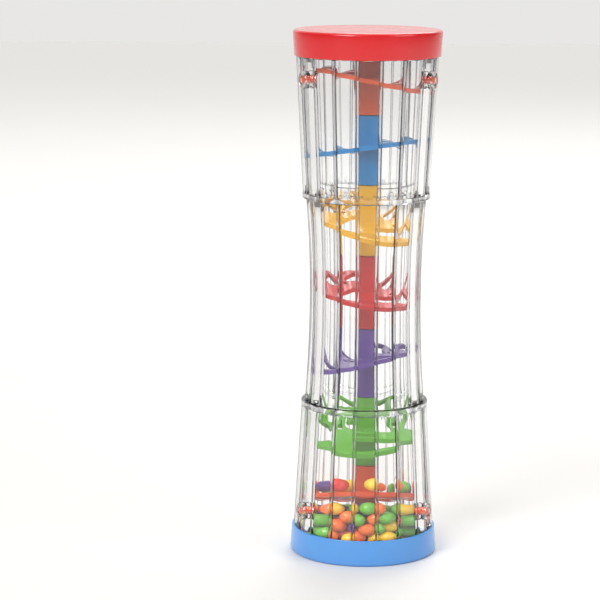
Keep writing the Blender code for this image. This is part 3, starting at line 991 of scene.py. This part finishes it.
class RAINSTICK_OT_stage(bpy.types.Operator):
    """Make the floor, the light and the camera"""

    bl_idname = "rainstick.stage"
    bl_label = "Stage"

    def execute(self, context):
        studio = context.scene.rainstick_studio
        half = 3.0
        corners = [(-half, -half, 0), (half, -half, 0), (half, half, 0), (-half, half, 0)]
        surface = painted_floor(context.scene.rainstick_colours.floor)
        floor = link_mesh("floor", corners, [(0, 1, 2, 3)], surface)
        context.scene.view_settings.view_transform = "Standard"
        self.world()
        self.lamp("key_light", (-0.9, -1.1, 1.3), 1.9)
        self.lamp("fill_light", (1.2, -0.7, 0.9), 7.0, 0.9)
        self.lamp("rim_light", (0.3, 1.2, 1.2), 8.0, 0.8)
        self.camera(studio)
        return {"FINISHED"}

    def world(self):
        """A pale surround: bright behind the tube, darker in front of it, at its sides and at the horizon."""
        world = bpy.data.worlds.new("pale_surround")
        world.use_nodes = True
        tree = world.node_tree
        tree.nodes.clear()
        place = add_node(tree, "ShaderNodeTexCoord")
        axes = add_node(tree, "ShaderNodeSeparateXYZ", inputs={0: place.outputs["Generated"]})
        depth = remap(tree, axes.outputs[1], (-0.7, 0.5), (0.25, 1.05))
        sides = remap(tree, math_node(tree, "ABSOLUTE", axes.outputs[0]), (0.45, 0.8), (1.0, 0.2))
        horizon = remap(tree, axes.outputs[2], (0.0, 0.25), (0.84, 1.0))
        level = math_node(tree, "MULTIPLY", math_node(tree, "MULTIPLY", depth, sides), horizon)
        sky = add_node(tree, "ShaderNodeBackground", inputs={"Color": linear("#F5F4F2"), "Strength": level})
        add_node(tree, "ShaderNodeOutputWorld", inputs={0: sky.outputs[0]})
        bpy.context.scene.world = world

    def lamp(self, name, place, power, size=None):
        """A soft light aimed at the middle of the tube: square if it has a size, else from far away."""
        data = bpy.data.lights.new(name, "AREA" if size else "SUN")
        data.energy = power
        if size:
            data.shape = "SQUARE"
            data.size = size
        else:
            data.angle = math.radians(28)
        made = bpy.data.objects.new(name, data)
        made.location = place
        aim = Vector((0, 0, MIDDLE)) - Vector(place)
        made.rotation_euler = aim.to_track_quat("-Z", "Y").to_euler()
        bpy.context.scene.collection.objects.link(made)

    def camera(self, studio):
        """A long lens from the front, a little above the middle of the tube."""
        data = bpy.data.cameras.new("camera")
        data.lens = studio.lens
        data.sensor_width = 36.0
        data.clip_start = 0.05
        data.clip_end = 20.0
        made = bpy.data.objects.new("camera", data)
        aim = Vector((-studio.side, 0, MIDDLE - studio.drop))
        back = Vector((0, -math.cos(studio.elevation), math.sin(studio.elevation)))
        made.location = aim + back * studio.distance
        aimed = (-back).to_track_quat("-Z", "Y")
        made.rotation_euler = (aimed @ Quaternion((0, 0, 1), studio.roll)).to_euler()
        bpy.context.scene.collection.objects.link(made)
        bpy.context.scene.camera = made


class RAINSTICK_PT_panel(bpy.types.Panel):
    """The rainstick's pieces, one button each"""

    bl_idname = "RAINSTICK_PT_panel"
    bl_label = "Rainstick"
    bl_space_type = "VIEW_3D"
    bl_region_type = "UI"
    bl_category = "Rainstick"

    def draw(self, context):
        for group in GROUPS:
            settings = getattr(context.scene, group)
            for name in settings.bl_rna.properties.keys():
                if name not in ("rna_type", "name"):
                    self.layout.prop(settings, name)
        for operator in MAKERS:
            self.layout.operator(operator.bl_idname)


GROUPS = {
    "rainstick_tube": RainstickTube,
    "rainstick_units": RainstickUnits,
    "rainstick_beads": RainstickBeads,
    "rainstick_colours": RainstickColours,
    "rainstick_studio": RainstickStudio,
}
MAKERS = (
    RAINSTICK_OT_tube,
    RAINSTICK_OT_eyelets,
    RAINSTICK_OT_caps,
    RAINSTICK_OT_units,
    RAINSTICK_OT_rod,
    RAINSTICK_OT_bed,
    RAINSTICK_OT_loose,
    RAINSTICK_OT_stage,
)
CLASSES = tuple(GROUPS.values()) + MAKERS + (RAINSTICK_PT_panel,)


def register():
    """Registers the classes and hangs the settings on the scene."""
    for item in CLASSES:
        bpy.utils.register_class(item)
    for name, group in GROUPS.items():
        setattr(bpy.types.Scene, name, bpy.props.PointerProperty(type=group))


def unregister():
    """Takes the settings and the classes away again."""
    for name in GROUPS:
        delattr(bpy.types.Scene, name)
    for item in reversed(CLASSES):
        bpy.utils.unregister_class(item)


def main():
    """Makes every piece in order."""
    register()
    for maker in MAKERS:
        category, action = maker.bl_idname.split(".")
        getattr(getattr(bpy.ops, category), action)()


if __name__ == "__main__":
    main()
